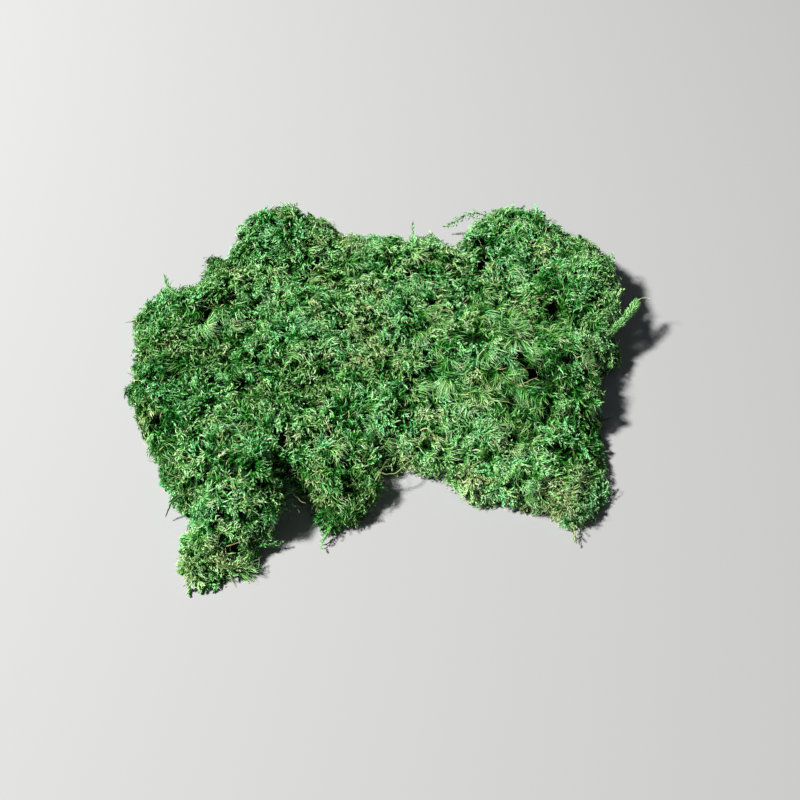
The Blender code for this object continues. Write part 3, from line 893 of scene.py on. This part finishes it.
hair_lines, hair_over, hair_side, hair_tuft = broom_lines(81)
broom_tint = np.clip(0.38 + 0.11 * rng.normal(size=TUFTS) - 0.16 * emerald, 0.10, 0.64)
hair_tint = broom_tint[hair_tuft] + rng.normal(0, 0.04, len(hair_tuft))
dry = rng.random(len(hair_tint)) < 0.045
hair_tint[dry] = rng.uniform(0.76, 0.92, dry.sum())
hair_tone_and_light = tuft_tone_and_light[hair_tuft] + rng.normal(-0.08, 0.13, len(hair_tuft))
hair_depth = brightness(hair_over, hair_tone_and_light[:, None])
hair_width = rng.uniform(0.28, 0.46, len(hair_lines)) * MM
hairs = ribbon_mesh(hair_lines, hair_side, hair_width, (0.8, 1.0, 0.9, 0.6), hair_tint, hair_depth)
mesh_piece("broom_moss", hairs, broom_green)

# %% [markdown]
# ## Curled leaf tips
#
# On the feather moss the youngest leaves at each shoot's end are the longest and brightest, and they curl
# over together like a lock of hair. They give the surface its strokes of light, and each lock is painted
# darker at its foot as painted shade. A lock is seven short ribbons that start close together, share the
# tuft's lean, and bend once.

# %% Locks of curled leaves
LOCKS = 4600
LEAVES_IN_LOCK = 7


def lock_lines(seed):
    """Leaves from 1 to 3.5 mm under the surface that rise with the lean and curl sideways or down."""
    r = np.random.default_rng(seed)
    p, n, lean, tuft = shoots(LOCKS, seed, False, 0.15)
    lean = unit(lean + 0.5 * np.cross(n, lean) * r.normal(size=(len(p), 1)))
    p = p - (n * 0.9 + lean * 0.5) * (r.uniform(1.0, 3.5, len(p)) * MM)[:, None]
    curl = np.cross(n, lean) * r.normal(0, 0.7, (len(p), 1)) - n * r.uniform(-0.2, 0.5, (len(p), 1))
    p, n, lean, curl, tuft = times(LEAVES_IN_LOCK, p, n, lean, curl, tuft)
    loose = r.normal(0, 0.30, n.shape)
    start = unit(n * r.uniform(0.5, 1.1, (len(n), 1)) + 0.7 * lean + loose)
    end = unit(lean + 1.3 * curl + 0.8 * loose)
    root = p + r.normal(0, 0.7 * MM, n.shape)
    sway = np.cross(n, lean) * r.normal(0, 0.8, (len(n), 1))
    lines = arching_lines(root, start, end, r.uniform(4.0, 8.5, len(n)) * MM, 3, sway)
    lines, over = settle(lines, seed + 1000, tuft_rise[tuft] + 0.3 * MM)
    return lines, over, unit(np.cross(lean, n) + r.normal(0, 0.6, n.shape)), tuft


curl_lines, curl_over, curl_side, curl_tuft = lock_lines(85)
curl_tint = np.clip(tuft_tint[curl_tuft] + rng.normal(0, 0.045, len(curl_tuft)), *LIVE)
curl_tint[rng.random(len(curl_tint)) < 0.045] = BLEACHED
curl_tone_and_light = tuft_tone_and_light[curl_tuft] + rng.normal(0, 0.11, len(curl_tuft))
# each lock painted darker at its foot and lighter at its end: painted shade low in the lock
curl_depth = brightness(curl_over, curl_tone_and_light[:, None]) + np.array([-0.18, -0.04, 0, 0.06])
curl_width = rng.uniform(0.40, 0.85, len(curl_lines)) * MM
curled = ribbon_mesh(curl_lines, curl_side, curl_width, (0.6, 1.0, 0.8), curl_tint, curl_depth)
mesh_piece("curled_leaves", curled, feather_green)

# %% [markdown]
# ## Old and dead leaves
#
# Low in the mat the old leaves lie every way, and three in ten of them are brown. Straw-coloured dead
# ones are caught between the shoots. Both are ribbons again, with other numbers.

# %% Old leaves on the felt, and straws among the shoots
OLD = 9000
STRAWS = 800


def lying_lines(count, seed, sink, length, steps, rise):
    """Lines that lie in the mat in any direction, rooted `sink` under its surface, lifted by `rise`."""
    r = np.random.default_rng(seed)
    p, n = scatter(2 * count, seed)
    rows = np.flatnonzero(gap_depth(p) < -0.8)[:count]
    p, n = p[rows], n[rows]
    aim = square_to(r.normal(size=p.shape), n)
    turn = unit(np.cross(n, aim)) * r.normal(0, 0.9, (count, 1))
    root = p - n * (r.uniform(*sink, count) * MM)[:, None]
    start = unit(aim + n * r.uniform(*rise, (count, 1)))
    end = unit(aim + turn + n * r.normal(0, 0.35, (count, 1)))
    lines = arching_lines(root, start, end, r.uniform(*length, count) * MM, steps)
    lines, over = settle(lines, seed + 1000)
    return lines, over, unit(np.cross(n, aim) + r.normal(0, 0.5, p.shape))


old_lines, old_over, old_side = lying_lines(OLD, 91, (3.5, 7.5), (4, 9), steps=3, rise=(-0.1, 0.5))
old_depth = brightness(old_over, rng.normal(0.05, 0.08, (OLD, 1)))
old_tint = np.where(rng.random(OLD) < 0.3, rng.uniform(0.85, 0.99, OLD), rng.uniform(0.1, 0.5, OLD))
old_width = rng.uniform(0.5, 0.9, OLD) * MM
old = ribbon_mesh(old_lines, old_side, old_width, (0.7, 1.0, 0.7), old_tint, old_depth)
mesh_piece("old_leaves", old, broom_green)

straw_lines, _, straw_side = lying_lines(STRAWS, 93, (-1.0, 3.0), (3.5, 9), steps=5, rise=(0.0, 0.7))
straw_depth = 0.45 + 0.5 * rng.random((STRAWS, 1)) * np.ones((1, straw_lines.shape[1]))
straw_tint = rng.uniform(0.80, 0.99, STRAWS)
straw_width = rng.uniform(0.28, 0.55, STRAWS) * MM
straws = ribbon_mesh(straw_lines, straw_side, straw_width, (0.7, 1, 1, 0.8, 0.6), straw_tint, straw_depth)
mesh_piece("dead_leaves", straws, straw)

# %% [markdown]
# ## Felt
#
# Under the green lies the brown felt of old stems that the mat was torn off with. It is the CAD form
# drawn in by a few millimetres, so that every shoot has something to stand in, and the gaps between the
# tufts look down on it. It is dark, because no light gets there.

# %% The felt body
FELT_IN = 7.0 * MM
FELT_SIDE_IN = 4.5 * MM
FELT_FOOT = 0.3 * MM
FELT_VOXEL = 2.2 * MM
FELT_KEPT = 0.3  # of the faces, after thinning


def felt_body():
    """The mat's vertices moved in along their soft normals, the steep ones sideways as well, and no lower
    than 0.3 mm. Voxels of 2.2 mm then make one closed skin of it again, which is softened and thinned."""
    steep = mat_n * np.array([1, 1, 0.0])
    down = np.clip(-mat_n[:, 2:], 0, 1)
    v = mat_v - mat_n * FELT_IN * (1 - 0.8 * down) - steep * FELT_SIDE_IN * (1 + 1.5 * down)
    v[:, 2] = np.clip(v[:, 2], FELT_FOOT, None)
    mesh = bpy.data.meshes.new("felt")
    mesh.from_pydata(v.tolist(), [], mat_f.tolist())
    felt = add("felt", mesh)
    voxels = felt.modifiers.new("voxels", "REMESH")
    voxels.mode = "VOXEL"
    voxels.voxel_size = FELT_VOXEL
    soften = felt.modifiers.new("soften", "SMOOTH")
    soften.iterations = 2
    thin = felt.modifiers.new("thin", "DECIMATE")
    thin.ratio = FELT_KEPT
    done = bpy.data.meshes.new_from_object(felt.evaluated_get(bpy.context.evaluated_depsgraph_get()))
    felt.modifiers.clear()
    felt.data = done
    felt.data.materials.clear()
    return felt


FELT_TONES = [
    (0.30, (0.001, 0.009, 0.001)),
    (0.50, (0.003, 0.022, 0.002)),
    (0.62, (0.012, 0.026, 0.004)),
    (0.80, (0.055, 0.045, 0.018)),
]


def felt_material():
    """Dark felt: a fine noise picks between deep green, peat and brown stem, and lifts small bumps."""
    made, tree, shader = new_paint("old felt")
    link = tree.links.new
    place = tree.nodes.new("ShaderNodeTexCoord")
    fine = tree.nodes.new("ShaderNodeTexNoise")
    tones = ramp(tree.nodes, FELT_TONES)
    bump = tree.nodes.new("ShaderNodeBump")
    set_inputs(fine, Scale=420, Detail=4)
    set_inputs(bump, Strength=0.6, Distance=0.6 * MM)
    set_inputs(shader, Roughness=0.95, Specular_IOR_Level=0.1)
    link(place.outputs["Object"], fine.inputs["Vector"])
    link(fine.outputs["Fac"], tones.inputs["Fac"])
    link(fine.outputs["Fac"], bump.inputs["Height"])
    link(tones.outputs["Color"], shader.inputs["Base Color"])
    link(bump.outputs["Normal"], shader.inputs["Normal"])
    return made


dressed(felt_body(), felt_material())

# %% [markdown]
# ## The loose sprigs
#
# Seven shoots stand clear of the mat, and the CAD part has a solid for each. Each is a smooth line
# through a few measured places, with its root inside the mat. A thin stem runs along the line, leaves
# stand round it in the same spiral, and all but the plump one bear short side strands.

# %% Smooth lines and round stems
def smooth_line(places, stations):
    """A line through places in millimetres, by Catmull-Rom curves: between two places it is a cubic whose
    slopes are half the way from the place before to the place after."""
    p = (np.array(places, float) + SHIFT) * MM
    p = np.concatenate([[2 * p[0] - p[1]], p, [2 * p[-1] - p[-2]]])
    x = np.linspace(0, len(places) - 1, stations) * 0.99999
    i = x.astype(int)
    t = (x - i)[:, None]
    a, b, c, d = p[i], p[i + 1], p[i + 2], p[i + 3]
    return 0.5 * (2 * b + (c - a) * t + (2 * a - 5 * b + 4 * c - d) * t**2 + (3 * b - a - 3 * c + d) * t**3)


def kinked(line, size, seed):
    """The line shifted by a sum of three sine waves of random directions, about `size` to each side."""
    r = np.random.default_rng(seed)
    x = np.linspace(0, 1, len(line))[:, None]
    bend = 0
    for k in (1, 2, 3):
        bend = bend + r.normal(0, size / k**0.5, 3) * np.sin(2 * np.pi * (3 * k * x + r.random()))
    return line + bend


def tube_numbers(shape, stations, sides, tint, depth):
    """The paint's numbers for tubes: one tint, tip from root to end, and depth in a wave round them."""
    tip = np.concatenate([np.repeat(np.linspace(0.05, 0.95, stations), sides), [0.05, 0.95]])
    wave = 0.02 * np.cos(2 * np.pi * np.arange(sides) / sides)
    round_it = np.concatenate([np.tile(wave, stations), [0, 0]])
    low = np.clip(depth * np.ones(shape[0]), *DEPTHS)[:, None]
    return [np.broadcast_to(a, shape) for a in (np.reshape(banded(tint), (-1, 1)), tip, low + round_it)]


def tube_mesh(lines, radius, sides, tint, depth):
    """Corners, faces and numbers of round tubes on centre lines, closed at both ends by a point. `radius`
    is one row of stations a line. Corner = centre + radius times (side cos a + up sin a)."""
    forward = unit(np.gradient(lines, axis=1))
    hint = np.where(np.abs(forward[..., 2:]) > 0.9, [1.0, 0, 0], [0, 0, 1.0])
    side = unit(np.cross(forward, hint))
    up = np.cross(side, forward)
    a = np.linspace(0, 2 * np.pi, sides, endpoint=False)[:, None]
    ring = side[:, :, None] * np.cos(a) + up[:, :, None] * np.sin(a)
    skin = lines[:, :, None] + ring * radius[:, :, None, None]
    count, stations = lines.shape[:2]
    vertices = np.concatenate([skin.reshape(count, -1, 3), lines[:, :1], lines[:, -1:]], axis=1)
    k, m = np.meshgrid(np.arange(stations - 1), np.arange(sides), indexing="ij")
    a, b = k * sides + m, k * sides + (m + 1) % sides
    walls = np.stack([a, a + sides, b + sides, a, b + sides, b], axis=-1).reshape(-1, 3)
    m = np.arange(sides)
    root = stations * sides
    last = (stations - 1) * sides
    foot = np.stack([np.full(sides, root), m, (m + 1) % sides], axis=1)
    head = np.stack([np.full(sides, root + 1), last + (m + 1) % sides, last + m], axis=1)
    pattern = np.concatenate([walls, foot, head])
    first = vertices.shape[1] * np.arange(count)
    faces = (first[:, None, None] + pattern[None]).reshape(-1, 3)
    return vertices, faces, tube_numbers(vertices.shape[:2], stations, sides, tint, depth)


# %% Seven sprigs
# places (mm, root to tip); thickness, leaf length and width (mm); leaves; side strands; tint; material
SPRIGS = {
    "sprig_right": ([(119, 37, 12), (123, 39, 16), (127, 42, 19.5), (132, 46, 21.5), (137.5, 51.5, 22.5),
                     (144, 59, 23), (150, 67.5, 23)], 6.9, 1.9, 1.0, 780, 0, 0.32, feather_green),
    "sprig_left": ([(-126, 69, 12), (-130, 71, 14), (-137, 73, 18), (-144, 76, 19), (-148, 81, 20),
                    (-150, 87, 22)], 3.0, 2.2, 0.9, 110, 14, 0.22, feather_green),
    "sprig_back": ([(70, 131, 13), (66, 134, 14), (58, 141, 18), (50, 144, 18), (42, 144, 14),
                    (36, 143, 10), (31, 142, 7)], 2.6, 2.0, 0.8, 130, 18, 0.16, feather_green),
    "sprig_notch": ([(3, 102, 10), (4, 104, 12), (7, 112, 18), (8, 117, 24), (8, 124, 31)],
                    2.4, 2.0, 0.7, 80, 10, 0.24, feather_green),
    "sprig_flap": ([(-90, -96, 5), (-86, -95, 6), (-79, -93, 7), (-73, -91, 6), (-67, -90, 5)],
                   2.6, 2.1, 0.8, 80, 12, 0.20, feather_green),
    "sprig_tongue": ([(-36, -69, 8), (-37, -72, 8), (-39, -78, 7), (-41, -84, 5), (-45, -91, 3)],
                     2.8, 2.2, 0.8, 80, 12, 0.30, feather_green),
    "sprig_front": ([(95, -63, 5), (95, -67, 5.5), (96, -75, 6), (98, -82, 4.5), (98, -88, 3)],
                    2.4, 2.0, 0.8, 80, 10, 0.62, broom_green),
}
# the pale bristle at the plump sprig's tip
BRISTLE = [(147, 64, 23), (150.5, 67.5, 23.5), (154, 68, 24), (157, 67, 24)]
STATIONS = 30


def sprig_meshes(places, thick, long, wide, leaves, strands, tint, seed):
    """A sprig: leaves round its main line, leaves on its side strands, and its stem. It is thinner to
    both ends like an upturned bowl, but one without side strands is plump and thickest near its tip."""
    plump = strands == 0
    line = smooth_line(places, STATIONS)[None]
    hint = np.array([[0.3, 0.2, 1.0]])
    t = np.linspace(0.04, 0.97, leaves)[None]
    swell = np.clip(1.04 - np.abs(2 * t - 1.05) ** 2, 0.12, 1) ** 0.5
    if plump:
        swell = (0.68 + 0.36 * t) * (1.03 - t**14) ** 0.5
    swell = swell * (1 + 0.07 * np.sin(23 * t) + 0.05 * np.sin(51 * t + 1))
    spread = 1.0 if plump else 0.50
    off = (0.5 * thick * MM - long * MM * math.sin(spread) * 0.8) * 0.8
    main = leaves_round(line, hint, t, spread, long * MM * (0.55 + 0.45 * swell), wide * MM * swell, seed,
                        flat=1.0, wild=0.35, off=np.maximum(off, 0) * swell[..., None])
    r = np.random.default_rng(seed)
    tints = np.clip(tint + r.normal(0, 0.06, t.shape), *LIVE)
    meshes = [leaf_mesh(main, tints, 0.58 + 0.38 * r.random(t.shape))]
    if strands:
        side_lines, side_hint = side_strands(line, hint, seed + 1, strands, longest=4.2)
        t = np.linspace(0.08, 0.97, LEAVES_ON_STRAND)[None] + np.zeros((len(side_lines), 1))
        small = leaves_round(side_lines, side_hint, t, 0.4, 1.7 * MM, 0.6 * MM, seed + 2)
        tints = np.clip(tint + r.normal(0, 0.05, t.shape), 0, 0.99)
        meshes.append(leaf_mesh(small, tints, 0.72 + 0.25 * r.random(t.shape)))
    core = (0.16 if plump else 0.13) * thick * MM * (1 - 0.6 * np.linspace(0, 1, STATIONS) ** 2)[None]
    return meshes + [tube_mesh(line, core, 6, min(tint + 0.12, 0.95), 0.75)]


for number, (name, (*form, paint)) in enumerate(SPRIGS.items()):
    meshes = sprig_meshes(*form, 200 + 10 * number)
    if name == "sprig_right":
        thin = np.linspace(0.30, 0.12, 12)[None] * MM
        meshes.append(tube_mesh(smooth_line(BRISTLE, 12)[None], thin, 6, 0.80, 0.85))
    mesh_piece(name + "_leafy", joined(meshes), paint, name)

# %% [markdown]
# ## Bare old stems
#
# A moss stem that has lost its leaves is a wiry thread, a little knobbly where the leaves stood. Three
# are large enough to have a solid of their own, and many fine ones stick out all over. A thin round tube
# does for all of them, and the radius of the large ones ripples for the knobs.

# %% Three bare stems
# places (mm, root to tip), thickness (mm) and tint
STEM_LINES = {
    "bare_stem_bay": ([(-82, -50, 12), (-78, -53, 13), (-71, -60, 13), (-67, -63.5, 13), (-64, -64, 13),
                       (-61.5, -62, 13.5), (-59, -65, 14), (-56.5, -67.5, 13), (-53, -68, 11.5)],
                      0.75, 0.80),
    "bare_stem_tongue": ([(11, -35, 11), (9, -38, 12), (3, -46, 13), (-4, -50.5, 14.5), (-10, -52, 15.5),
                          (-14, -55, 15), (-17.5, -60, 13), (-22, -65, 10)], 0.70, 0.83),
    "bare_stem_flap": ([(-108, -68, 8), (-111, -68, 9), (-118, -65, 12), (-123, -64, 13), (-128, -67, 11),
                        (-131, -70, 8), (-133, -73, 4)], 1.25, 0.995),
}
STEM_STATIONS = 60
dark_stem = leaf_material("dark old stem", (0.16, 0.11, 0.06))
x = np.linspace(0, 1, STEM_STATIONS)[None]
for number, (name, (places, thick, tint)) in enumerate(STEM_LINES.items()):
    dark = name == "bare_stem_flap"
    line = smooth_line(places, STEM_STATIONS)
    line = kinked(line, (0.12 if dark else 0.35) * MM, 300 + number)[None]
    ripple = 1 + 0.12 * np.sin(x * 75) + 0.06 * np.sin(x * 190 + 1)
    radius = 0.5 * thick * MM * ripple * (1 - 0.55 * x**3)
    stem = tube_mesh(line, radius, 8, tint, 0.45 if dark else 0.70)
    mesh_piece(name + "_round", stem, dark_stem if dark else straw, name, smooth=True)

# %% Fine bare stems all over
THREADS = 240
thread_lines, _, _ = lying_lines(THREADS, 95, (-0.5, 3.0), (8, 20), steps=8, rise=(0.15, 1.0))
x = np.linspace(0, 1, thread_lines.shape[1])[None]
thread_radius = rng.uniform(0.13, 0.24, (THREADS, 1)) * MM * (1 - 0.6 * x**2)
thread_tint = np.where(rng.random(THREADS) < 0.7, rng.uniform(0.62, 0.88, THREADS), 0.99)
threads = tube_mesh(thread_lines, thread_radius, 3, thread_tint, rng.uniform(0.6, 0.95, THREADS))
mesh_piece("fine_bare_stems", threads, straw)

# %% [markdown]
# ## Roots under the mat
#
# Turned over, the mat shows brown threads felted together, with which it held on to the ground. They are
# ribbons that lie flat under the felt, in the last millimetre above the ground.

# %% Root threads
ROOTS = 3600


def root_lines(count, seed):
    """Lines that wander level under the mat: points of its underside, 0.2 to 1.2 mm above the ground."""
    r = np.random.default_rng(seed)
    under = (corner[:, :, 2].max(axis=1) < 2.5 * MM) * face_size
    pick = r.choice(len(mat_f), count, p=under / under.sum())
    w = r.dirichlet((1, 1, 1), count)[:, :, None]
    p = (corner[pick] * w).sum(axis=1)
    p[:, 2] = r.uniform(0.2, 1.2, count) * MM
    a = r.uniform(0, 2 * np.pi, count)
    b = a + r.normal(0, 1.1, count)
    start = np.stack([np.cos(a), np.sin(a), 0 * a], axis=1)
    end = np.stack([np.cos(b), np.sin(b), 0 * b], axis=1)
    return arching_lines(p, start, end, r.uniform(5, 13, count) * MM, 4)


roots = root_lines(ROOTS, 97)
root_side = unit(rng.normal(size=(ROOTS, 3)) * np.array([1, 1, 0.3]))
root_width = rng.uniform(0.3, 0.7, ROOTS) * MM
root_depth = rng.uniform(0.35, 0.85, (ROOTS, 1)) * np.ones((1, roots.shape[1]))
root_tint = rng.uniform(0.84, 0.999, ROOTS)
threads = ribbon_mesh(roots, root_side, root_width, (0.7, 1, 1, 0.7), root_tint, root_depth)
mesh_piece("root_threads", threads, straw)
